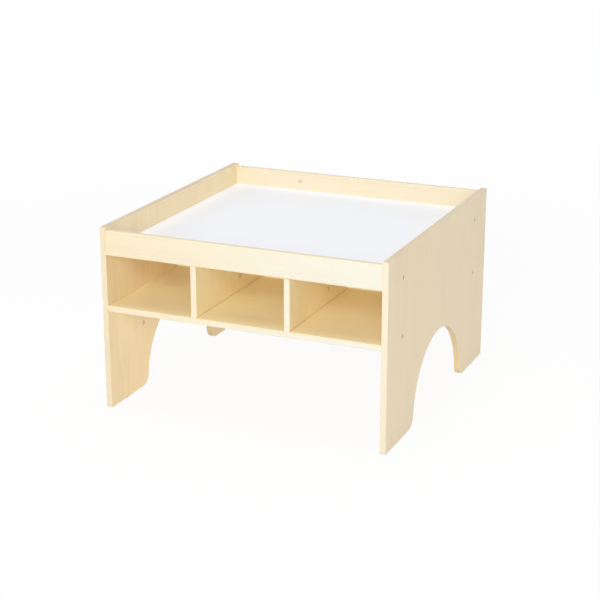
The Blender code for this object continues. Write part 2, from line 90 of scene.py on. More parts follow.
# %% [markdown]
# Materials and Geometry Nodes are both trees of nodes, and every tree here is written in code.
# Small helpers keep the trees short. One plugs values or links into a node's inputs, one adds a
# node, and one adds a node to the tree that its links come from. The outputs of nodes also learn
# the usual signs, so a sum of outputs is written like any other sum. The rest of the helpers add
# what many trees need, such as a colour ramp or a bump.

# %% Helpers for node trees
Socket = bpy.types.NodeSocket


def plug(node, plugs):
    """Give each input of a node, by name or by number, its value or another node's output."""
    for name, value in plugs.items():
        if isinstance(value, Socket):
            node.id_data.links.new(value, node.inputs[name])
        else:
            node.inputs[name].default_value = value


def add_node(tree, kind, plugs=None, **options):
    """Add a node to a tree, set its options, and plug its inputs."""
    node = tree.nodes.new(kind)
    for option, value in options.items():
        setattr(node, option, value)
    plug(node, plugs or {})
    return node


def feed(kind, plugs, **options):
    """Add a node to the tree that its links come from, and give its first output."""
    tree = next(value.id_data for value in plugs.values() if isinstance(value, Socket))
    return add_node(tree, kind, plugs, **options).outputs[0]


def calc(operation, *terms):
    """Add a sum with one, two or three terms, and give its result."""
    return feed("ShaderNodeMath", dict(enumerate(terms)), operation=operation)


Socket.__add__ = lambda first, second: calc("ADD", first, second)
Socket.__sub__ = lambda first, second: calc("SUBTRACT", first, second)
Socket.__rsub__ = lambda second, first: calc("SUBTRACT", first, second)
Socket.__mul__ = lambda first, second: calc("MULTIPLY", first, second)
Socket.__truediv__ = lambda first, second: calc("DIVIDE", first, second)
Socket.__neg__ = lambda only: calc("MULTIPLY", only, -1.0)


def vector_calc(operation, *vectors):
    """Add a sum of vectors, and give its result, which is a number for some operations."""
    result = feed("ShaderNodeVectorMath", dict(enumerate(vectors)), operation=operation)
    return result.node.outputs["Value"] if operation in ("LENGTH", "DOT_PRODUCT") else result


def parts_of(vector):
    """Take a vector apart into its three numbers."""
    return feed("ShaderNodeSeparateXYZ", {0: vector}).node.outputs


def vector_of(*parts):
    """Make a vector of three numbers."""
    return feed("ShaderNodeCombineXYZ", dict(enumerate(parts)))


def weighted(weights, start=0.0):
    """Add up several outputs, each times its weight, on top of a start value."""
    total = start
    for output, weight in weights:
        total = calc("MULTIPLY_ADD", output, weight, total)
    return total


def hypotenuse(first, second):
    """Give the length of the long side over two sides at right angles."""
    square = calc("POWER", second, 2.0)
    return calc("SQRT", calc("MULTIPLY_ADD", first, first, square))


def share_between(value, low, high, start=0.0, **options):
    """Give a number that grows from a start to 1 while a value grows from low to high."""
    plugs = {"Value": value, "From Min": low, "From Max": high, "To Min": start}
    return feed("ShaderNodeMapRange", plugs, **options)


def new_finish(name, paint):
    """Make a material; paint adds to its tree, and gives what goes into its shader."""
    material = bpy.data.materials.new(name)
    material.use_nodes = True
    tree = material.node_tree
    plug(tree.nodes["Principled BSDF"], paint(tree))
    return material


def ramp(factor, stops):
    """Add a colour ramp with stops of position and colour, and give its colour."""
    colour = feed("ShaderNodeValToRGB", {"Fac": factor})
    elements = colour.node.color_ramp.elements
    while len(elements) < len(stops):
        elements.new(1.0)
    for element, (position, shade) in zip(elements, stops):
        element.position = position
        element.color = (*shade, 1.0)
    return colour


def bump(height, strength, distance):
    """Give the normal of a surface that is raised and sunk by a height."""
    return feed("ShaderNodeBump", {"Height": height, "Strength": strength, "Distance": distance})


# %% [markdown]
# Maple. The boards are hard maple under a satin lacquer: very pale, with faint growth rings, fine
# fibres and small flecks, and a little darker where the saw cut across the fibres. A picture of
# wood could be wrapped round each board, but its grain would never run on from a face to an edge.
# A solid pattern does that by itself, because it fills the wood like the rings in a log. Every
# board therefore carries its own coordinates as an attribute named stock: across the staves,
# through the thickness and along the grain, from the middle of the board. Wide boards are glued
# up from staves, and random numbers for each stave move and tilt the heart of its log.

# %% Maple, the solid pattern
STAVE_WIDTH = 88 * MM
SEEDS_PER_BOARD = 17.37
HEART_DEPTH = 35 * MM
HEART_DEPTH_CHANGE = 90 * MM
HEART_SWAY = 60 * MM
HEART_TILT = 0.045
RING_WIDTH = 2.6 * MM
RING_WOBBLE = 8 * MM


def random_for(seed):
    """Give a random value and a random colour that depend on a seed alone."""
    return feed("ShaderNodeTexWhiteNoise", {"W": seed}, noise_dimensions="1D").node.outputs


def stave_of(across, board_number):
    """Give each stave's three random numbers and the place across it from its middle."""
    stave = calc("FLOOR", across / STAVE_WIDTH)
    seed = calc("MULTIPLY_ADD", board_number, SEEDS_PER_BOARD, stave)
    numbers = feed("ShaderNodeSeparateColor", {"Color": random_for(seed)["Color"]}).node.outputs
    middle = calc("MULTIPLY_ADD", stave, STAVE_WIDTH, STAVE_WIDTH / 2)
    return numbers, across - middle


def solid_noise(place, scale, detail):
    """Give noise that fills space."""
    return feed("ShaderNodeTexNoise", {"Vector": place, "Scale": scale, "Detail": detail})


def stretched_noise(place, along_scale, scale, detail=2.0):
    """Give noise that is drawn out along the grain, the third coordinate."""
    return solid_noise(vector_calc("MULTIPLY", place, (1.0, 1.0, along_scale)), scale, detail)


def growth_rings(numbers, across, through, along, wobble):
    """Give the place within a growth ring, from 0 to 1, and the number of the ring."""
    sideways = calc("MULTIPLY_ADD", numbers[0] - 0.5, HEART_SWAY, across)
    depth = calc("MULTIPLY_ADD", numbers[1], HEART_DEPTH_CHANGE, HEART_DEPTH)
    depth = calc("MULTIPLY_ADD", (numbers[2] - 0.5) * along, HEART_TILT, depth)
    from_heart = hypotenuse(sideways, through + depth)
    radius = calc("MULTIPLY_ADD", wobble, RING_WOBBLE, from_heart)
    ring = radius / RING_WIDTH
    return calc("FRACT", ring), calc("FLOOR", ring)


# %% [markdown]
# The colour of maple is a base colour times a shade. The base says which side of a board is seen:
# the faces are a warm cream, and what faces the front or rear is paler, a painted highlight that
# grows towards the right. Edges that face up or down are a little duller, which is painted shade.
# A routed edge, as in the arches, is browner, and the same browner colour on the rounded foot of
# each divider is painted shade along its joint with the shelf. The end panels have a very faint
# rosy tint. The shade is a sum of small differences, and none of them may shout: rings, fibres,
# flecks, clouds, the tone of each stave, and a painted light tone from left to right across some
# boards. The lacquer is a thin clear coat whose values sit on the shader itself, and the bump is
# some hundredths of a millimetre.

# %% Maple, the finish
MAPLE_FACE = (0.935, 0.805, 0.505)
# The golden and pale colours are a painted highlight on what faces the front or rear.
MAPLE_HALF_PAINTED_HIGHLIGHT = (0.700, 0.600, 0.415)
MAPLE_PAINTED_HIGHLIGHT = (0.661, 0.640, 0.550)
# The sawn colour is painted shade on edges that face up or down.
MAPLE_PAINTED_EDGE_SHADE = (0.700, 0.615, 0.430)
# The routed colour is the routed edges' own colour; on the dividers' feet it is painted shade.
MAPLE_ROUTED_AND_PAINTED_SHADE = (0.700, 0.590, 0.325)
PAINTED_HIGHLIGHT_COLOURS = [(0.0, MAPLE_FACE), (0.5, MAPLE_HALF_PAINTED_HIGHLIGHT), (1.0, MAPLE_PAINTED_HIGHLIGHT)]
ROSY_TINT = (0.985, 0.950, 1.0)
WHITE = (1.0, 1.0, 1.0, 1.0)
MAPLE_SHADES = [(0.0, (0.74, 0.62, 0.48)), (0.5, (0.985, 0.975, 0.955)), (1.0, (1.0, 1.0, 1.0))]
RING_PROFILE = [(0.0, 0.05), (0.5, 0.1), (0.88, 1.0), (1.0, 0.0)]
FACING_POWER = 3.0


def attribute(tree, name, output):
    """Read one of a mesh's own attributes."""
    return add_node(tree, "ShaderNodeAttribute", attribute_name=name).outputs[output]


def facing_share(tree, way):
    """Give 1 where a surface faces along a way, and 0 where it lies along it."""
    normal = add_node(tree, "ShaderNodeNewGeometry").outputs["Normal"]
    share = calc("ABSOLUTE", vector_calc("DOT_PRODUCT", way, normal))
    return calc("POWER", share, FACING_POWER)


def mixed(share, first, second):
    """Mix a constant colour into another colour by a share."""
    plugs = {0: share, 6: first, 7: (*second, 1.0)}
    return feed("ShaderNodeMix", plugs, data_type="RGBA").node.outputs[2]


def maple_base(tree):
    """Choose the base colour by the side of the board and by the look that its edges were given."""
    look = parts_of(attribute(tree, "look", "Vector"))
    # What faces the front or rear gets a painted highlight, by the first share of the look.
    painted_highlight = facing_share(tree, (0, 1, 0)) * look[0]
    # Edges that face up or down get painted shade, by the second share of the look.
    painted_edge_shade = facing_share(tree, (0, 0, 1)) * look[1]
    # Routed edges get their browner colour, and the dividers' feet get it as painted shade.
    routed_and_painted_shade = (1.0 - facing_share(tree, (1, 0, 0))) * look[2]
    rosy = attribute(tree, "rosiness", "Fac") * (1.0 - painted_highlight)
    base = mixed(painted_edge_shade, ramp(painted_highlight, PAINTED_HIGHLIGHT_COLOURS), MAPLE_PAINTED_EDGE_SHADE)
    base = mixed(routed_and_painted_shade, base, MAPLE_ROUTED_AND_PAINTED_SHADE)
    return vector_calc("MULTIPLY", base, mixed(rosy, WHITE, ROSY_TINT))


def paint_maple(tree):
    """Paint the maple that all boards share."""
    stock = attribute(tree, "stock", "Vector")
    parts = parts_of(stock)
    board_number = attribute(tree, "board_number", "Fac")
    numbers, across = stave_of(parts[0], board_number)
    place = vector_calc("ADD", stock, vector_of(board_number, numbers[0], numbers[1]))
    wobble = stretched_noise(place, along_scale=0.12, scale=9.0)
    within, ring = growth_rings(numbers, across, parts[1], parts[2], wobble)
    line = ramp(within, [(position, (dark,) * 3) for position, dark in RING_PROFILE])
    line = line * random_for(ring + board_number)["Value"]
    fibre = stretched_noise(place, along_scale=0.018, scale=620.0, detail=3.0)
    fleck = stretched_noise(place, along_scale=0.05, scale=1500.0, detail=1.0)
    fleck = share_between(fleck, low=0.60, high=0.72)
    cloud = stretched_noise(place, along_scale=0.35, scale=7.0)
    end_grain = facing_share(tree, attribute(tree, "grain_way", "Vector"))
    differences = [
        (line, -0.16),
        (fibre - 0.5, 0.34),
        (fleck, -0.09),
        (cloud - 0.5, 0.30),
        (numbers[1] - 0.5, 0.09),
        (end_grain, -0.16),
        # A painted light tone that runs from left to right across a board.
        (attribute(tree, "painted_light_tone", "Fac"), 1.0),
    ]
    shade = ramp(weighted(differences, start=0.55), MAPLE_SHADES)
    colour = vector_calc("MULTIPLY", maple_base(tree), shade)
    roughness = weighted([(fibre, 0.16), (end_grain, 0.15), (line, 0.05)], start=0.34)
    height = weighted([(fibre, 0.7), (line, -0.3), (fleck, -0.5)])
    return {
        "Base Color": colour,
        "Roughness": roughness,
        "IOR": 1.5,
        "Coat Weight": 0.25,
        "Coat Roughness": 0.22,
        "Normal": bump(height, strength=0.35, distance=0.06 * MM),
    }


MAPLE = new_finish("lacquered_maple", paint_maple)
print("Nodes in the maple finish:", len(MAPLE.node_tree.nodes))

# %% [markdown]
# The play surface is a hard white laminate with a matte, very slightly pebbled skin that doesn't
# glare under a lamp. It reads plain object coordinates, because the skin has no direction. The
# steel of the fasteners is yellow zinc plated and turned on a lathe, so its fine rings follow an
# attribute named turned_place, which keeps each fastener's own coordinates. Beech is for the
# dowels and the buttons, and a brown plastic for the glides.

# %% Laminate, yellow zinc plated steel, beech and plastic
LAMINATE_COLOURS = [(0.0, (0.840, 0.853, 0.895)), (1.0, (0.865, 0.878, 0.920))]
STEEL_COLOURS = [(0.0, (0.56, 0.43, 0.24)), (1.0, (0.80, 0.66, 0.42))]
BEECH_COLOURS = [(0.0, (0.50, 0.38, 0.25)), (1.0, (0.70, 0.58, 0.42))]
PLASTIC_COLOURS = [(0.0, (0.20, 0.135, 0.080)), (1.0, (0.32, 0.225, 0.140))]
LATHE_FEED = 0.28 * MM


def object_place(tree):
    """Give each point's place in the coordinates of its object."""
    return add_node(tree, "ShaderNodeTexCoord").outputs["Object"]


def paint_laminate(tree):
    """Paint the white laminate of the play surface."""
    place = object_place(tree)
    cloud = solid_noise(place, scale=4.0, detail=3.0)
    pebble = solid_noise(place, scale=900.0, detail=2.0)
    speck = solid_noise(place, scale=2600.0, detail=0.0)
    return {
        "Base Color": ramp(weighted([(cloud, 0.8), (speck, 0.35)], start=-0.08), LAMINATE_COLOURS),
        "Roughness": weighted([(pebble, 0.12), (cloud, 0.06)], start=0.42),
        "IOR": 1.48,
        "Normal": bump(pebble, strength=0.25, distance=0.05 * MM),
    }


def paint_steel(tree):
    """Paint the yellow zinc plated steel of the bolts, nuts and sleeves."""
    place = attribute(tree, "turned_place", "Vector")
    parts = parts_of(place)
    ridge = calc("SINE", hypotenuse(parts[0], parts[1]) * (2 * math.pi / LATHE_FEED))
    patina = solid_noise(place, scale=420.0, detail=3.0)
    return {
        "Base Color": ramp(weighted([(patina, 0.9), (ridge, 0.06)], start=0.05), STEEL_COLOURS),
        "Roughness": weighted([(patina, 0.25), (ridge, 0.03)], start=0.28),
        "Metallic": 1.0,
        "Normal": bump(ridge, strength=0.3, distance=0.01 * MM),
    }


def paint_beech(tree):
    """Paint the raw beech of the dowels and buttons, its grain along each."""
    place = attribute(tree, "turned_place", "Vector")
    fibre = stretched_noise(place, along_scale=0.03, scale=900.0, detail=3.0)
    fleck = stretched_noise(place, along_scale=0.2, scale=1400.0, detail=0.0)
    return {
        "Base Color": ramp(weighted([(fibre, 0.9), (fleck, -0.3)], start=0.2), BEECH_COLOURS),
        "Roughness": weighted([(fibre, 0.2)], start=0.52),
        "Normal": bump(fibre, strength=0.4, distance=0.05 * MM),
    }


def paint_plastic(tree):
    """Paint the brown moulded plastic of the glides."""
    place = object_place(tree)
    mottle = solid_noise(place, scale=160.0, detail=3.0)
    grain = solid_noise(place, scale=2200.0, detail=1.0)
    return {
        "Base Color": ramp(mottle, PLASTIC_COLOURS),
        "Roughness": weighted([(mottle, 0.15), (grain, 0.1)], start=0.36),
        "Normal": bump(grain, strength=0.3, distance=0.03 * MM),
    }


LAMINATE = new_finish("white_laminate_skin", paint_laminate)
STEEL = new_finish("zinc_plated_steel", paint_steel)
BEECH = new_finish("raw_beech", paint_beech)
PLASTIC = new_finish("brown_glide_plastic", paint_plastic)
print("Finishes:", [finish.name for finish in (MAPLE, LAMINATE, STEEL, BEECH, PLASTIC)])

# %% [markdown]
# Where the fasteners are. Each one is already in the frame, so its box gives its place, and only
# the way that it points out of the wood has to be said. A spot is the point where its axis comes
# out at its outer end, together with that way out.

# %% Spots of the fasteners
WAYS = {
    "+X": Vector((1, 0, 0)),
    "-X": Vector((-1, 0, 0)),
    "+Y": Vector((0, 1, 0)),
    "-Y": Vector((0, -1, 0)),
    "+Z": Vector((0, 0, 1)),
    "-Z": Vector((0, 0, -1)),
}


def length_of(node, way_name):
    """Give a fastener's length along its axis."""
    low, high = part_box(node)
    return abs((high - low).dot(WAYS[way_name]))


def spot(node, way_name):
    """Give the outer end of a fastener's axis, and its way out of the wood."""
    low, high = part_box(node)
    way = WAYS[way_name]
    return (low + high) / 2 + way * (length_of(node, way_name) / 2), way


SIDES = {"left": "-X", "right": "+X"}
ENDS = ("front", "rear")
LEVELS = ("top", "shelf")
JOINTS = {
    f"{side}_{level}_{end}": way
    for side, way in SIDES.items()
    for level in LEVELS
    for end in ENDS
}
DIVIDERS = [f"{end}_{side}_divider" for end in ENDS for side in SIDES]
END_BOLTS = {joint + "_bolt": way for joint, way in JOINTS.items()}
DIVIDER_BOLTS = {name + "_bolt": "-Z" for name in DIVIDERS}
NUTS = {joint + "_nut": "-Z" for joint in JOINTS} | {name + "_nut": "+X" for name in DIVIDERS}
RAIL_DOWELS = {
    f"{end}_rail_{side}_{height}_dowel": SIDES[side]
    for end in ENDS
    for side in SIDES
    for height in ("lower", "upper")
}
DIVIDER_DOWELS = {name + "_foot_dowel": "-Z" for name in DIVIDERS}
DIVIDER_DOWELS |= {name + "_head_dowel": "+Z" for name in DIVIDERS}
CROSS_DOWELS = {side + "_cross_dowel": "+Y" for side in SIDES}
GLIDES = {f"{end}_{side}_glide": "-Z" for end in ENDS for side in SIDES}
SLEEVES = {"left_panel_insert": "+X", "rear_rail_insert": "-Y"}
print("Bolts:", len(END_BOLTS) + len(DIVIDER_BOLTS), "nuts:", len(NUTS), "glides:", len(GLIDES))

# %% [markdown]
# Holes. A maker drills each board before it is put together: a flat bottomed pocket for each bolt
# head, a bore for its shank, a cross hole for each barrel nut, and blind holes for dowels, nails
# and sleeves. Here each fastener brings its own drill, a solid of revolution a little larger than
# itself, and the boards that it passes through are cut with it. A drill starts outside the wood,
# but a dowel hides in two boards, so its drill ends a hair past both tips. One cutter object holds
# all the drills of a kind, and drills of one kind never overlap, so each cut stays clean.

# %% Drills
CLEARANCE = 0.3 * MM
DRILL_OVERRUN = 5 * MM
DRILL_SIDES = 48
BOLT_HEAD_DIAMETER = 12 * MM
BOLT_HEAD_HEIGHT = 3 * MM
BOLT_SHANK_DIAMETER = 6 * MM
BORE_PAST_TIP = 4 * MM
NUT_DIAMETER = 10 * MM
DOWEL_DIAMETER = 8 * MM
NAIL_DIAMETER = 2.6 * MM
SLEEVE_FLANGE_DIAMETER = 12 * MM
SLEEVE_FLANGE_HEIGHT = 1 * MM
SLEEVE_BODY_DIAMETER = 9 * MM


def add_turned(bm, profile, matrix):
    """Add a solid of revolution, from radius and height points, to a bmesh."""
    rings = []
    for radius, height in profile:
        count = DRILL_SIDES if radius > 0.0 else 1
        angles = [2 * math.pi * step / count for step in range(count)]
        points = [Vector((radius * math.cos(a), radius * math.sin(a), height)) for a in angles]
        rings.append([bm.verts.new(matrix @ point) for point in points])
    for lower, upper in zip(rings, rings[1:]):
        for step in range(DRILL_SIDES):
            after = (step + 1) % DRILL_SIDES
            corners = [lower[step % len(lower)], lower[after % len(lower)]]
            corners += [upper[after % len(upper)], upper[step % len(upper)]]
            bm.faces.new(list(dict.fromkeys(corners)))


def facing(point, way):
    """Give the matrix that puts a fastener's own +Z on its way out, at a point."""
    return Matrix.Translation(point) @ way.to_track_quat("Z", "Y").to_matrix().to_4x4()


def keep(bm, mesh):
    """Turn the faces of a bmesh outwards, and keep it as a mesh."""
    bmesh.ops.recalc_face_normals(bm, faces=bm.faces)
    bm.to_mesh(mesh)
    bm.free()


def solid_of(bm, name):
    """Make an object of a bmesh."""
    mesh = bpy.data.meshes.new(name)
    keep(bm, mesh)
    return put_in_scene(name, mesh)


def drills(fasteners, diameter, pocket=(), start=DRILL_OVERRUN, past_tip=CLEARANCE):
    """Make a cutter for a kind of fastener; a pocket is a list of a diameter and a height."""
    bm = bmesh.new()
    for node, way_name in fasteners.items():
        profile = [(0.0, start)]
        height = start
        for width, depth in (*pocket, (diameter, length_of(node, way_name) + past_tip)):
            radius = width / 2 + CLEARANCE
            profile += [(radius, height), (radius, -depth)]
            height = -depth
        add_turned(bm, [*profile, (0.0, height)], facing(*spot(node, way_name)))
    return solid_of(bm, "drills")


BOLT_POCKET = [(BOLT_HEAD_DIAMETER, BOLT_HEAD_HEIGHT + CLEARANCE)]
BOLT_BORE = {"diameter": BOLT_SHANK_DIAMETER, "pocket": BOLT_POCKET, "past_tip": BORE_PAST_TIP}
SLEEVE_POCKET = [(SLEEVE_FLANGE_DIAMETER, SLEEVE_FLANGE_HEIGHT + CLEARANCE)]
DRILLS = {
    "end_bolts": drills(END_BOLTS, **BOLT_BORE),
    "divider_bolts": drills(DIVIDER_BOLTS, **BOLT_BORE),
    "nuts": drills(NUTS, NUT_DIAMETER),
    "dowels": drills(RAIL_DOWELS | DIVIDER_DOWELS, DOWEL_DIAMETER, start=CLEARANCE),
    "cross_dowels": drills(CROSS_DOWELS, DOWEL_DIAMETER, start=CLEARANCE),
    "nails": drills(GLIDES, NAIL_DIAMETER),
    "sleeves": drills(SLEEVES, SLEEVE_BODY_DIAMETER, SLEEVE_POCKET),
}
print("Faces of the drills:", {name: len(cut.data.polygons) for name, cut in DRILLS.items()})

# %% [markdown]
# Boards. A board is sawn square, its long edges are rounded over with a 2 mm cutter, and the ends
# that meet another board stay crisp. Rounding by hand would mean many small faces, so the edges
# only get a weight here, and a Bevel modifier turns the weight into a radius. The holes are cut
# after the edges are rounded. Then the finished mesh is kept, and a Weighted Normal modifier lets
# the large flat faces rule the shading, so that they stay dead flat up to their rounded edges.

# %% Board making
EDGE_RADIUS = 2 * MM
EDGE_SEGMENTS = 5
CRISP_WEIGHT = 0.1
SOFT_WEIGHT = 0.25
SHARP_ANGLE = math.radians(35)


def settle(piece):
    """Apply a piece's modifiers and keep the result as its plain mesh."""
    bpy.context.view_layer.update()
    graph = bpy.context.evaluated_depsgraph_get()
    shaped = piece.evaluated_get(graph)
    mesh = bpy.data.meshes.new_from_object(shaped, preserve_all_data_layers=True, depsgraph=graph)
    piece.modifiers.clear()
    piece.data = mesh
    mesh.name = piece.name


def weigh_edges(bm, weight_of):
    """Give each edge of a board the weight that its rounding has."""
    layer = bm.edges.layers.float.new("bevel_weight_edge")
    for edge in bm.edges:
        edge[layer] = weight_of(edge)


def add_modifier(piece, kind, **settings):
    """Add a modifier to a piece, and set it."""
    modifier = piece.modifiers.new(kind, kind)
    for setting, value in settings.items():
        setattr(modifier, setting, value)


def work_board(piece, cuts):
    """Round a board's weighted edges, cut its holes, and settle its shading."""
    edges = {"limit_method": "WEIGHT", "offset_type": "OFFSET"}
    add_modifier(piece, "BEVEL", width=EDGE_RADIUS, segments=EDGE_SEGMENTS, **edges)
    for name in cuts:
        add_modifier(piece, "BOOLEAN", operation="DIFFERENCE", solver="EXACT", object=DRILLS[name])
    settle(piece)
    piece.data.shade_smooth()
    piece.data.set_sharp_from_angle(angle=SHARP_ANGLE)
    add_modifier(piece, "WEIGHTED_NORMAL", mode="FACE_AREA", keep_sharp=True)
    settle(piece)


def store(mesh, name, values):
    """Store a number or a vector for each vertex of a mesh."""
    vectors = len(values) > len(mesh.vertices)
    kept = mesh.attributes.new(name, "FLOAT_VECTOR" if vectors else "FLOAT", "POINT")
    kept.data.foreach_set("vector" if vectors else "value", values)


def give_grain(piece, node, axes, board_number, painted_light_tones, look, rosiness=0.0):
    """Give a board its stock coordinates and its look: axes name across, through and along."""
    low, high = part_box(node)
    middle = (low + high) / 2
    left, right = painted_light_tones
    order = ["XYZ".index(axis) for axis in axes]
    places = [vertex.co.copy() for vertex in piece.data.vertices]
    shares = [(place.x - low.x) / (high.x - low.x) for place in places]
    values = {
        "stock": [(place - middle)[axis] for place in places for axis in order],
        "grain_way": list(WAYS["+" + axes[2]]) * len(places),
        "look": [share for place in places for share in look(place)],
        "board_number": [float(board_number)] * len(places),
        # The painted light tone runs across the board's box from its left to its right.
        "painted_light_tone": [left + (right - left) * share for share in shares],
        "rosiness": [rosiness] * len(places),
    }
    for name, numbers in values.items():
        store(piece.data, name, numbers)


def show_board(name, bm, node, cuts, finish):
    """Turn a blank board into a finished piece that stands for its node."""
    piece = solid_of(bm, name)
    work_board(piece, cuts)
    piece.data.materials.clear()
    piece.data.materials.append(finish)
    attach(piece, "root")
    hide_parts(node)
    print(name, "has", len(piece.data.polygons), "faces")
    return piece


# %% [markdown]
# Straight boards. Rails, shelf, spine, dividers and the white board are plain cuboids before they
# are worked, and their size and place come from the node that each stands for. A row of the
# table says which edges are rounded, which holes go in, which way the grain runs, the painted light
# tone at the board's left and right, and how the edges look. A look is three shares: of the painted
# highlight on what faces the front or rear, of the painted shade on edges that face up or down, and
# of the routed colour, which the dividers' feet get as painted shade along their joint.
# The grain of the rails, the shelf and the spine runs from left to right, and that of the
# dividers upwards.

# %% Straight boards
SHELF_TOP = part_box("shelf")[1].z
OPEN_END = -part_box("front_left_divider")[0].y
# How high the painted shade reaches up each divider's foot.
FOOT_HEIGHT = 1.1 * EDGE_RADIUS
NEARLY_ALL = 0.99


def along(edge, axis):
    """Tell whether an edge runs along an axis."""
    run = edge.verts[1].co - edge.verts[0].co
    return abs(run["XYZ".index(axis)]) > NEARLY_ALL * run.length


def straight_board(node, suffix, round_edge, cuts, finish):
    """Make a cuboid board in a node's place; round_edge gives an edge's weight."""
    low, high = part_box(node)
    bm = bmesh.new()
    bmesh.ops.create_cube(bm, size=1.0)
    bmesh.ops.scale(bm, vec=high - low, verts=bm.verts)
    bmesh.ops.translate(bm, vec=(low + high) / 2, verts=bm.verts)
    weigh_edges(bm, round_edge)
    return show_board(node + suffix, bm, node, cuts, finish)


def long_edges(edge):
    """Round the edges that run from left to right."""
    return 1.0 if along(edge, "X") else CRISP_WEIGHT


def soft_arris(edge):
    """Take only the sharpness off the edges."""
    return SOFT_WEIGHT if along(edge, "X") or along(edge, "Y") else CRISP_WEIGHT


def open_edges(edge):
    """Round a divider's two upright edges at its open end, and the long edges of its foot."""
    place = edge.verts[0].co
    at_foot = along(edge, "Y") and place.z < SHELF_TOP + EDGE_RADIUS
    at_end = along(edge, "Z") and abs(place.y) > OPEN_END - EDGE_RADIUS
    return 1.0 if at_foot or at_end else CRISP_WEIGHT


def edge_look(painted_highlight_share=0.0, painted_highlight_change=0.0, painted_edge_shade=0.0):
    """Make a look: the painted highlight, its growth to the right, and the share of painted shade.
    """
    return lambda place: (painted_highlight_share + painted_highlight_change * place.x, painted_edge_shade, 0.0)


# The looks give a painted highlight to what faces the front or rear, paler towards the right.
plain_look = edge_look()
painted_highlight_look = edge_look(painted_highlight_share=0.80, painted_highlight_change=0.70)
rail_look = edge_look(painted_highlight_share=0.80, painted_highlight_change=0.70, painted_edge_shade=1.0)
rear_rail_look = edge_look(painted_highlight_share=0.62, painted_edge_shade=1.0)


def divider_look(place):
    """Give the look of a divider: painted highlight where it is open, and painted shade on its
    foot.
    """
    at_foot = place.z < SHELF_TOP + FOOT_HEIGHT and abs(place.y) < OPEN_END - EDGE_RADIUS / 2
    painted_highlight_share, painted_edge_shade, routed_and_painted_shade = painted_highlight_look(place)
    # The rounding of the foot gets the routed colour as painted shade along the joint.
    return painted_highlight_share, painted_edge_shade, 1.0 if at_foot else routed_and_painted_shade


SHELF_CUTS = ["end_bolts", "divider_bolts", "nuts", "dowels"]
DIVIDER_CUTS = ["divider_bolts", "nuts", "dowels", "cross_dowels"]
# A row's pair of numbers is a painted light tone: the front rail and shelf lighten to the right.
STRAIGHT_BOARDS = [
    ("front_rail", long_edges, ["dowels"], "ZYX", (0.0, 0.05), rail_look),
    ("rear_rail", long_edges, ["dowels", "sleeves"], "ZYX", (0.0, 0.0), rear_rail_look),
    ("shelf", long_edges, SHELF_CUTS, "YZX", (-0.03, 0.03), painted_highlight_look),
    ("spine_panel", soft_arris, ["cross_dowels"], "ZYX", (0.0, 0.0), plain_look),
]
for divider in DIVIDERS:
    STRAIGHT_BOARDS.append((divider, open_edges, DIVIDER_CUTS, "YXZ", (0.0, 0.0), divider_look))

for number, (node, round_edge, cuts, axes, painted_light_tones, look) in enumerate(STRAIGHT_BOARDS, start=1):
    piece = straight_board(node, "_maple", round_edge, cuts, MAPLE)
    give_grain(piece, node, axes, number, painted_light_tones, look)

TOP_CUTS = ["end_bolts", "nuts", "dowels"]
straight_board("top_board", "_laminated", soft_arris, TOP_CUTS, LAMINATE)

# %% [markdown]
# End panels. Each is one wide board whose foot is cut out by an arch: a large arc whose two ends
# turn outwards through a small fillet, so that the panel stands on two feet. The fillet touches
# both the arc and the floor line, and that fixes where its centre is. The outline is drawn as
# points, filled and given its thickness, and the rims on both faces are rounded all the way round.
# Then all boards are cut, and the drills are taken away.

# %% End panels
BOARD_THICKNESS = 16 * MM
PANEL_HEIGHT = 502 * MM
TABLE_DEPTH = 800 * MM
ARCH_RADIUS = 196 * MM
ARCH_CENTRE_HEIGHT = 9 * MM
FOOT_FILLET_RADIUS = 33 * MM
PANEL_TOP_CORNER_RADIUS = 3 * MM
PANEL_FOOT_CORNER_RADIUS = 5 * MM
ARCH_STEPS = 160
FILLET_STEPS = 20
CORNER_STEPS = 8
FIRST_PANEL_NUMBER = 11


def arc(centre, radius, start, end, steps):
    """List the points of an arc from one angle to another."""
    angles = [start + (end - start) * step / steps for step in range(steps + 1)]
    return [(centre[0] + radius * math.cos(a), centre[1] + radius * math.sin(a)) for a in angles]


def end_panel_outline():
    """Draw the panel as points in depth and height, with its foot at height zero."""
    quarter = math.pi / 2
    outer = TABLE_DEPTH / 2
    top, foot, fillet = PANEL_TOP_CORNER_RADIUS, PANEL_FOOT_CORNER_RADIUS, FOOT_FILLET_RADIUS
    rise = fillet - ARCH_CENTRE_HEIGHT
    fillet_y = math.sqrt((ARCH_RADIUS + fillet) ** 2 - rise**2)
    lean = math.atan2(rise, fillet_y)
    points = arc((outer - foot, foot), foot, -quarter, 0.0, CORNER_STEPS)
    points += arc((outer - top, PANEL_HEIGHT - top), top, 0.0, quarter, CORNER_STEPS)
    points += arc((top - outer, PANEL_HEIGHT - top), top, quarter, 2 * quarter, CORNER_STEPS)
    points += arc((foot - outer, foot), foot, 2 * quarter, 3 * quarter, CORNER_STEPS)
    points += arc((-fillet_y, fillet), fillet, -quarter, lean, FILLET_STEPS)
    points += arc((0.0, ARCH_CENTRE_HEIGHT), ARCH_RADIUS, math.pi - lean, lean, ARCH_STEPS)[1:-1]
    points += arc((fillet_y, fillet), fillet, math.pi - lean, math.pi + quarter, FILLET_STEPS)
    return points


# The end panels' upright edges get a painted highlight, and their top edge painted shade.
panel_edge_look = edge_look(painted_highlight_share=0.66, painted_highlight_change=0.18, painted_edge_shade=1.0)


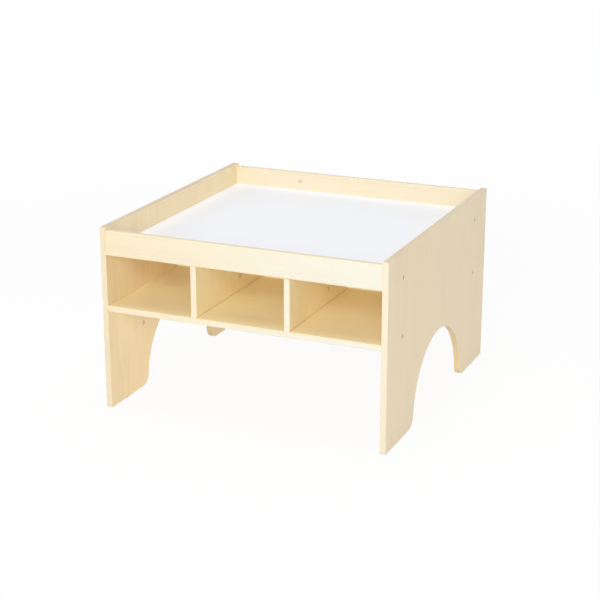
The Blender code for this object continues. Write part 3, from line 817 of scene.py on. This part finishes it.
def panel_look(place):
    """Give an end panel's look: painted highlight on upright edges, painted shade on top, arch
    routed.
    """
    reach = TABLE_DEPTH / 2 - 2 * PANEL_FOOT_CORNER_RADIUS
    in_arch = abs(place.y) < reach and place.z < ARCH_RADIUS + FOOT_FILLET_RADIUS
    return (0.0, 0.0, 1.0) if in_arch else panel_edge_look(place)


def end_panel(side, cuts, number, painted_light_tones, rosiness):
    """Make one end panel in its node's place."""
    node = side + "_end_panel"
    low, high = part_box(node)
    bm = bmesh.new()
    verts = [bm.verts.new((low.x, y, low.z + z)) for y, z in end_panel_outline()]
    pushed = bmesh.ops.extrude_face_region(bm, geom=[bm.faces.new(verts)])
    moved = [item for item in pushed["geom"] if isinstance(item, bmesh.types.BMVert)]
    bmesh.ops.translate(bm, vec=(BOARD_THICKNESS, 0, 0), verts=moved)
    weigh_edges(bm, lambda edge: 0.0 if along(edge, "X") else 1.0)
    piece = show_board(node + "_maple", bm, node, cuts, MAPLE)
    give_grain(piece, node, "YXZ", number, painted_light_tones, panel_look, rosiness)


PANEL_CUTS = ["end_bolts", "dowels", "nails"]
# The left panel's painted light tone darkens its inner face: painted shade.
end_panel("left", [*PANEL_CUTS, "sleeves"], FIRST_PANEL_NUMBER, (0.0, -0.08), rosiness=0.6)
end_panel("right", PANEL_CUTS, FIRST_PANEL_NUMBER + 1, (0.0, 0.0), rosiness=1.0)

for cutter in DRILLS.values():
    bpy.data.objects.remove(cutter, do_unlink=True)

# %% [markdown]
# Fasteners by Geometry Nodes. All of them are turned on a lathe, and each kind repeats at many
# spots, which is what Geometry Nodes do best. One helper is the lathe: it takes a grid, reads
# each point's row and angle from its index, and wraps the grid round the axis, with a radius and
# a height for each row. Another puts the turned piece on every spot, along its way out. Points
# that fall together on the axis, on the seam or at a cut are merged, so every piece is a closed
# body. The origin of a piece is the outer end of its axis, and its length comes from the frame.

# %% Helpers for turned pieces
SPOT_ATTRIBUTE = "way_out"
MERGE_DISTANCE = 0.001 * MM


def new_tree(name, sizes):
    """Start a Geometry Nodes tree, and give its inputs: spots, a finish, and named sizes."""
    tree = bpy.data.node_groups.new(name, "GeometryNodeTree")
    inputs = {label: "Int" if isinstance(size, int) else "Float" for label, size in sizes.items()}
    for label, kind in {"Spots": "Geometry", "Finish": "Material", **inputs}.items():
        socket = tree.interface.new_socket(label, in_out="INPUT", socket_type="NodeSocket" + kind)
        if label in sizes:
            socket.default_value = sizes[label]
    tree.interface.new_socket("Pieces", in_out="OUTPUT", socket_type="NodeSocketGeometry")
    return add_node(tree, "NodeGroupInput").outputs


def rounded_rim(edge, radius, angles):
    """Give the radii and the heights of a rim that is rounded down from height zero."""
    turns = [math.radians(angle) for angle in angles]
    radii = [weighted([(edge, math.cos(turn) - 1.0)], radius) for turn in turns]
    return radii, [edge * (math.sin(turn) - 1.0) for turn in turns]


def changed(kind, shape, plugs=None, **options):
    """Add a node that changes a shape, and give the changed shape."""
    return feed(kind, {"Geometry": shape, **(plugs or {})}, **options)


def merged(shape):
    """Merge the points of a piece that fall together."""
    return changed("GeometryNodeMergeByDistance", shape, {"Distance": MERGE_DISTANCE})


def minus(shape, tool):
    """Cut a tool's shape out of a piece."""
    options = {"operation": "DIFFERENCE", "solver": "EXACT"}
    return merged(feed("GeometryNodeMeshBoolean", {0: shape, 1: tool}, **options))


def chosen(choice, when_false, when_true):
    """Choose between two numbers."""
    plugs = {"Switch": choice, "False": when_false, "True": when_true}
    return feed("GeometryNodeSwitch", plugs, input_type="FLOAT")


def lathe_grid(rows, sides):
    """Add a grid, and give it with each point's row number and its angle round the axis."""
    columns = sides + 1.0
    grid = feed("GeometryNodeMeshGrid", {"Vertices X": rows, "Vertices Y": columns})
    index = add_node(sides.id_data, "GeometryNodeInputIndex").outputs[0]
    row = calc("FLOOR", (index + 0.5) / columns)
    column = index - row * columns
    return grid, row, column / sides * (2 * math.pi)


def by_row(row, values):
    """Choose a value by row number."""
    switch = add_node(row.id_data, "GeometryNodeIndexSwitch", data_type="FLOAT")
    while len(switch.index_switch_items) < len(values):
        switch.index_switch_items.new()
    plug(switch, dict(enumerate([row, *values])))
    return switch.outputs[0]


def wrap(grid, radius, height, angle):
    """Wrap a grid round the axis, and close its seam and its ends."""
    place = vector_of(radius * calc("COSINE", angle), radius * calc("SINE", angle), height)
    return merged(changed("GeometryNodeSetPosition", grid, {"Position": place}))


def turned(inputs, radii, heights):
    """Turn a piece from the radius and the height of each of its rows."""
    grid, row, angle = lathe_grid(len(radii), inputs["Sides"])
    return wrap(grid, by_row(row, radii), by_row(row, heights), angle)


def place_on_spots(inputs, shape):
    """Smooth a piece, keep its own coordinates, put it on every spot, and give the tree."""
    tree = shape.id_data
    vectors = {"data_type": "FLOAT_VECTOR"}
    angle = add_node(tree, "GeometryNodeInputMeshEdgeAngle").outputs["Unsigned Angle"]
    crisp = {"Selection": calc("GREATER_THAN", angle, SHARP_ANGLE), "Shade Smooth": False}
    own = {"Name": "turned_place", "Value": add_node(tree, "GeometryNodeInputPosition").outputs[0]}
    shape = changed("GeometryNodeSetShadeSmooth", shape, domain="FACE")
    shape = changed("GeometryNodeSetShadeSmooth", shape, crisp, domain="EDGE")
    shape = changed("GeometryNodeStoreNamedAttribute", shape, own, domain="POINT", **vectors)
    way = add_node(tree, "GeometryNodeInputNamedAttribute", {"Name": SPOT_ATTRIBUTE}, **vectors)
    turn = feed("FunctionNodeAlignRotationToVector", {"Vector": way.outputs[0]}, axis="Z")
    spots = {"Points": inputs["Spots"], "Instance": shape, "Rotation": turn}
    shape = feed("GeometryNodeInstanceOnPoints", spots)
    shape = changed("GeometryNodeRealizeInstances", shape)
    shape = changed("GeometryNodeSetMaterial", shape, {"Material": inputs["Finish"]})
    add_node(tree, "NodeGroupOutput", {"Pieces": shape})
    return tree


def make_pieces(name, tree, fasteners, finish, stand_in=True):
    """Run a tree on the spots of some fasteners, and keep the result as one plain mesh."""
    spots = [spot(node, way_name) for node, way_name in fasteners.items()]
    mesh = bpy.data.meshes.new(name)
    mesh.from_pydata([point for point, way in spots], [], [])
    store(mesh, SPOT_ATTRIBUTE, [number for point, way in spots for number in way])
    piece = put_in_scene(name, mesh)
    maker = piece.modifiers.new(tree.name, "NODES")
    maker.node_group = tree
    sockets = {item.name: item.identifier for item in tree.interface.items_tree}
    maker[sockets["Finish"]] = finish
    if "Length" in sockets:
        maker[sockets["Length"]] = length_of(*next(iter(fasteners.items())))
    settle(piece)
    bm = bmesh.new()
    bm.from_mesh(piece.data)
    keep(bm, piece.data)
    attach(piece, "root")
    if stand_in:
        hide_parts(*fasteners)
    print(name, "has", len(fasteners), "pieces and", len(piece.data.polygons), "faces")


# %% [markdown]
# Furniture bolts. They have a thin flat head with a softened rim and a socket for a hexagon key,
# and the key's dark socket is what shows on the outside of the end panels. Only the last part of
# the shank has a thread. The rows of the grid first follow the head and the plain shank, and the
# rest of the rows make the thread: its radius rises and falls with height, and a part turn for
# every side makes the ridge climb round the axis as a real thread does.

# %% Bolts
BOLT_SIZES = {
    "Head Diameter": BOLT_HEAD_DIAMETER,
    "Head Height": BOLT_HEAD_HEIGHT,
    "Head Rim": 0.6 * MM,
    "Socket Width": 5 * MM,
    "Socket Depth": 2 * MM,
    "Shank Diameter": BOLT_SHANK_DIAMETER,
    "Length": 50 * MM,
    "Thread Length": 18 * MM,
    "Thread Pitch": 1 * MM,
    "Thread Depth": 0.45 * MM,
    "Tip Chamfer": 0.9 * MM,
    "Sides": 32,
}
THREAD_ROWS_PER_TURN = 4


def hexagon_key(inputs):
    """Add the hexagon that cuts the socket of a bolt's head."""
    corner = inputs["Socket Width"] / math.sqrt(3.0)
    plugs = {"Vertices": 6, "Radius": corner, "Depth": inputs["Socket Depth"] * 2.0}
    return feed("GeometryNodeMeshCylinder", plugs, fill_type="NGON")


def bolt_tree():
    """Build the tree of the bolts, whose head's face is at height zero."""
    inputs = new_tree("furniture_bolt", BOLT_SIZES)
    head, shank = inputs["Head Diameter"] / 2.0, inputs["Shank Diameter"] / 2.0
    under_head, tip = -inputs["Head Height"], -inputs["Length"]
    pitch = inputs["Thread Pitch"]
    rim_radii, rim_heights = rounded_rim(inputs["Head Rim"], head, (90, 60, 30, 0))
    thread_top = tip + inputs["Thread Length"]
    radii = [0.0, *rim_radii, head, shank, shank]
    heights = [0.0, *rim_heights, under_head, under_head, thread_top]
    first = len(radii)
    rows = inputs["Thread Length"] / pitch
    rows = calc("ROUND", calc("MULTIPLY_ADD", rows, THREAD_ROWS_PER_TURN, first + 1.0))
    grid, row, angle = lathe_grid(rows, inputs["Sides"])
    down = calc("MAXIMUM", row - (first - 1.0), 0.0)
    depth = calc("MULTIPLY_ADD", down, pitch / -THREAD_ROWS_PER_TURN, thread_top)
    thread_height = calc("MAXIMUM", depth, tip)
    turns = thread_height / pitch + angle / (2 * math.pi)
    groove = calc("PINGPONG", turns, 0.5) * 2.0 * inputs["Thread Depth"]
    chamfered = shank - inputs["Tip Chamfer"] + (thread_height - tip)
    thread_radius = calc("MINIMUM", shank - groove, chamfered)
    last = calc("COMPARE", row, rows - 1.0, 0.5)
    plain = calc("LESS_THAN", row, first - 0.5)
    radius = chosen(plain, thread_radius * (1.0 - last), by_row(row, radii))
    height = chosen(plain, thread_height, by_row(row, heights))
    blank = wrap(grid, radius, height, angle)
    return place_on_spots(inputs, minus(blank, hexagon_key(inputs)))


BOLT_TREE = bolt_tree()
for name, bolts in (("end_bolts_zinc", END_BOLTS), ("divider_bolts_zinc", DIVIDER_BOLTS)):
    make_pieces(name, BOLT_TREE, bolts, STEEL)

# %% [markdown]
# Barrel nuts. Each is a short steel rod laid across the bolt, with a screwdriver slot in the end
# that shows, so that its cross bore can be turned to meet the bolt. It is turned first and then
# drilled and slotted, here with two cuts, as in the workshop.

# %% Barrel nuts
NUT_SIZES = {
    "Diameter": NUT_DIAMETER,
    "Length": 11 * MM,
    "Rim": 0.5 * MM,
    "Bore": BOLT_SHANK_DIAMETER + 2 * CLEARANCE,
    "Slot Width": 1.2 * MM,
    "Slot Depth": 1.2 * MM,
    "Sides": 40,
}


def nut_tree():
    """Build the tree of the barrel nuts, whose slotted end is at height zero."""
    inputs = new_tree("barrel_nut", NUT_SIZES)
    radius, rim, far = inputs["Diameter"] / 2.0, inputs["Rim"], -inputs["Length"]
    radii = [0.0, radius - rim, radius, radius, radius - rim, 0.0]
    blank = turned(inputs, radii, [0.0, 0.0, -rim, far + rim, far, far])
    wide = inputs["Diameter"] * 2.0
    plugs = {"Vertices": inputs["Sides"], "Radius": inputs["Bore"] / 2.0, "Depth": wide}
    bore = feed("GeometryNodeMeshCylinder", plugs)
    where = vector_of(0.0, 0.0, far / 2.0)
    across = {"Translation": where, "Rotation": (0.0, math.pi / 2, 0.0)}
    bored = minus(blank, changed("GeometryNodeTransform", bore, across))
    size = vector_of(wide, inputs["Slot Width"], inputs["Slot Depth"] * 2.0)
    return place_on_spots(inputs, minus(bored, feed("GeometryNodeMeshCube", {"Size": size})))


make_pieces("barrel_nuts_zinc", nut_tree(), NUTS, STEEL)

# %% [markdown]
# Dowels. A dowel is a beech rod with chamfered ends and shallow flutes along it, which let the
# glue and the trapped air out of the hole. The flutes are one more use of the angle round the
# axis: a wave with a fixed count takes a little off the radius, and only on the rows between the
# two chamfers. Long and short dowels share the tree and differ in one input.

# %% Dowels
DOWEL_SIZES = {
    "Diameter": DOWEL_DIAMETER,
    "Length": 30 * MM,
    "Chamfer": 0.8 * MM,
    "Flute Depth": 0.25 * MM,
    "Flutes": 16,
    "Sides": 96,
}


def dowel_tree():
    """Build the tree of the dowels, whose outer end is at height zero."""
    inputs = new_tree("fluted_dowel", DOWEL_SIZES)
    radius, chamfer, far = inputs["Diameter"] / 2.0, inputs["Chamfer"], -inputs["Length"]
    heights = [0.0, 0.0, -chamfer, far + chamfer, far, far]
    grid, row, angle = lathe_grid(len(heights), inputs["Sides"])
    share = calc("MULTIPLY_ADD", calc("COSINE", angle * inputs["Flutes"]), 0.5, 0.5)
    fluted = radius - share * inputs["Flute Depth"]
    radii = by_row(row, [0.0, radius - chamfer, fluted, fluted, radius - chamfer, 0.0])
    return place_on_spots(inputs, wrap(grid, radii, by_row(row, heights), angle))


DOWEL_TREE = dowel_tree()
DOWEL_SETS = {
    "rail_dowels_beech": RAIL_DOWELS,
    "divider_dowels_beech": DIVIDER_DOWELS,
    "cross_dowels_beech": CROSS_DOWELS,
}
for name, dowels in DOWEL_SETS.items():
    make_pieces(name, DOWEL_TREE, dowels, BEECH)

# %% [markdown]
# Glides. A small domed plastic pad with a nail in it is driven into the middle of each foot, so
# that the wood never stands in the wet. The pad's edge is a quarter round, made from one named
# radius and the sines of a few angles, and the nail runs up from it to a point.

# %% Glides
GLIDE_SIZES = {
    "Diameter": 14 * MM,
    "Height": 3 * MM,
    "Edge Radius": 1.5 * MM,
    "Nail Diameter": NAIL_DIAMETER,
    "Length": 17 * MM,
    "Nail Point": 3 * MM,
    "Sides": 48,
}


def glide_tree():
    """Build the tree of the glides, whose pad touches the floor at height zero."""
    inputs = new_tree("nailed_glide", GLIDE_SIZES)
    pad, nail = inputs["Diameter"] / 2.0, inputs["Nail Diameter"] / 2.0
    top, end = -inputs["Height"], -inputs["Length"]
    angles = (90, 72, 54, 36, 18, 0)
    edge_radii, edge_heights = rounded_rim(inputs["Edge Radius"], pad, angles)
    radii = [0.0, *edge_radii, pad, nail, nail, 0.0]
    heights = [0.0, *edge_heights, top, top, end + inputs["Nail Point"], end]
    return place_on_spots(inputs, turned(inputs, radii, heights))


make_pieces("glides_brown", glide_tree(), GLIDES, PLASTIC)

# %% [markdown]
# Sleeves. Two threaded sleeves are let into the wood, one in the left end panel above its foot and
# one in the rear rail, ready for an accessory. A thin flange lies flush with the face. The
# profile runs down the bore, out under the body and back up to the flange, and its last row meets
# its first, so that the ring closes on itself.

# %% Sleeves
SLEEVE_SIZES = {
    "Flange Diameter": SLEEVE_FLANGE_DIAMETER,
    "Flange Height": SLEEVE_FLANGE_HEIGHT,
    "Body Diameter": SLEEVE_BODY_DIAMETER,
    "Bore": 6 * MM,
    "Length": 10 * MM,
    "Rim": 0.3 * MM,
    "Sides": 48,
}


def sleeve_tree():
    """Build the tree of the sleeves, whose flange's face is at height zero."""
    inputs = new_tree("screw_in_sleeve", SLEEVE_SIZES)
    diameters = ("Flange Diameter", "Body Diameter", "Bore")
    flange, body, bore = (inputs[label] / 2.0 for label in diameters)
    rim, under, end = inputs["Rim"], -inputs["Flange Height"], -inputs["Length"]
    mouth = bore + rim
    radii = [mouth, bore, bore, body, body, flange, flange, flange - rim, mouth]
    heights = [0.0, -rim, end, end, under, under, -rim, 0.0, 0.0]
    return place_on_spots(inputs, turned(inputs, radii, heights))


make_pieces("sleeves_zinc", sleeve_tree(), SLEEVES, STEEL)

# %% [markdown]
# Buttons. While no accessory is screwed in, a small turned beech button closes each sleeve. Its
# stem is pressed into the bore, and its low crown lies on the flange. The button has no node of
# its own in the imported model: it is a trim piece, and it only rides along.

# %% Buttons
BUTTON_SIZES = {
    "Diameter": 10 * MM,
    "Crown": 0.9 * MM,
    "Stem Diameter": 5.9 * MM,
    "Stem Length": 6 * MM,
    "Sides": 48,
}
CROWN_RADII = (0.0, 0.35, 0.65, 0.85, 0.96, 1.0, 0.99)
CROWN_HEIGHTS = (1.0, 0.97, 0.86, 0.66, 0.38, 0.12, 0.0)


def button_tree():
    """Build the tree of the buttons, whose crown rises from height zero."""
    inputs = new_tree("beech_button", BUTTON_SIZES)
    rim, stem = inputs["Diameter"] / 2.0, inputs["Stem Diameter"] / 2.0
    end = -inputs["Stem Length"]
    radii = [rim * share for share in CROWN_RADII] + [stem, stem, 0.0]
    heights = [inputs["Crown"] * share for share in CROWN_HEIGHTS] + [0.0, end, end]
    return place_on_spots(inputs, turned(inputs, radii, heights))


make_pieces("sleeve_buttons_beech", button_tree(), SLEEVES, BEECH, stand_in=False)

# %% [markdown]
# The studio. The table stands on a white floor before a white backdrop, under large soft lamps.
# The floor has to look white and still catch the table's shadow. Turning the lamps up until the
# floor burns out would bleach the maple as well. So the floor's material shows the camera a mix
# of its lit surface and plain white, and gives every other ray its lit surface. The world does
# the same with the sky: white where it is looked at, and a plain soft grey as a lamp.

# %% Floor
FLOOR_HALF_WIDTH = 40.0
FLOOR_COLOUR = (0.86, 0.86, 0.86, 1.0)
FLOOR_ROUGHNESS = 0.9
FLOOR_WHITENESS = 0.92
FLOOR_FADE = (1.2, 3.5)


def looked_at(tree):
    """Give 1 for rays that look at a surface directly, in a reflection or through glass."""
    rays = add_node(tree, "ShaderNodeLightPath").outputs
    seen = calc("MAXIMUM", rays["Is Camera Ray"], rays["Is Glossy Ray"])
    return calc("MAXIMUM", seen, rays["Is Transmission Ray"])


def paint_floor(tree):
    """Paint a floor that looks white and keeps a soft shadow."""
    lit = tree.nodes["Principled BSDF"].outputs[0]
    glow = add_node(tree, "ShaderNodeEmission", {"Color": WHITE, "Strength": 1.0}).outputs[0]
    distance = vector_calc("LENGTH", object_place(tree))
    smooth = {"interpolation_type": "SMOOTHSTEP"}
    share = looked_at(tree) * share_between(distance, *FLOOR_FADE, FLOOR_WHITENESS, **smooth)
    both = feed("ShaderNodeMixShader", {0: share, 1: lit, 2: glow})
    plug(tree.nodes["Material Output"], {"Surface": both})
    return {"Base Color": FLOOR_COLOUR, "Roughness": FLOOR_ROUGHNESS}


floor_mesh = bpy.data.meshes.new("studio_floor")
half = FLOOR_HALF_WIDTH
corners = [(-half, -half, 0.0), (half, -half, 0.0), (half, half, 0.0), (-half, half, 0.0)]
floor_mesh.from_pydata(corners, [], [(0, 1, 2, 3)])
floor_mesh.materials.append(new_finish("studio_floor", paint_floor))
studio_floor = put_in_scene("studio_floor", floor_mesh)

# %% [markdown]
# Lamps. Two large soft lamps in front give most of the light. They hang low, near the way that the
# picture is looked at, so their light goes deep into the cubbies. One straight above lights the
# white board without a shadow from the lip. Weak ones from the rear and the left only keep the
# other sides from going dull. In a pale wooden box light goes to and fro many times before it
# comes out, so more bounces of it are followed than usual: with few, the cubbies turn too dark.
# A row of the table gives a lamp's azimuth and elevation, its distance and width, and its power.

# %% Sky and lamps
SKY_STRENGTH = 0.2
LAMPS = [
    ("front_lamp", 10, 20, 8.0, 4.0, 384.0),
    ("front_right_lamp", 24, 18, 8.0, 4.0, 183.0),
    ("top_lamp", 0, 88, 4.5, 3.0, 96.0),
    ("rear_lamp", 160, 14, 6.0, 3.0, 80.0),
    ("left_lamp", -75, 25, 5.0, 2.4, 42.0),
]
LAMP_TARGET = Vector((0.0, 0.0, 0.3))
LIGHT_BOUNCES = 12


def add_lamp(name, azimuth, elevation, distance, width, power):
    """Hang a square soft lamp that faces the table, at an azimuth counted from its front."""
    turn = math.radians(azimuth)
    rise = math.radians(elevation)
    reach = math.cos(rise)
    way = Vector((math.sin(turn) * reach, -math.cos(turn) * reach, math.sin(rise)))
    data = bpy.data.lights.new(name, "AREA")
    data.size = width
    data.energy = power
    lamp = put_in_scene(name, data)
    lamp.location = LAMP_TARGET + way * distance
    lamp.rotation_euler = way.to_track_quat("Z", "Y").to_euler()


for row in LAMPS:
    add_lamp(*row)

SCENE.cycles.diffuse_bounces = LIGHT_BOUNCES

sky = bpy.data.worlds.new("studio_sky")
sky.use_nodes = True
SCENE.world = sky
sky_tree = sky.node_tree
backdrop = share_between(looked_at(sky_tree), 0.0, 1.0, start=SKY_STRENGTH)
plug(sky_tree.nodes["Background"], {"Color": WHITE, "Strength": backdrop})
print("Lamps:", len(LAMPS), "and a sky of strength", SKY_STRENGTH)
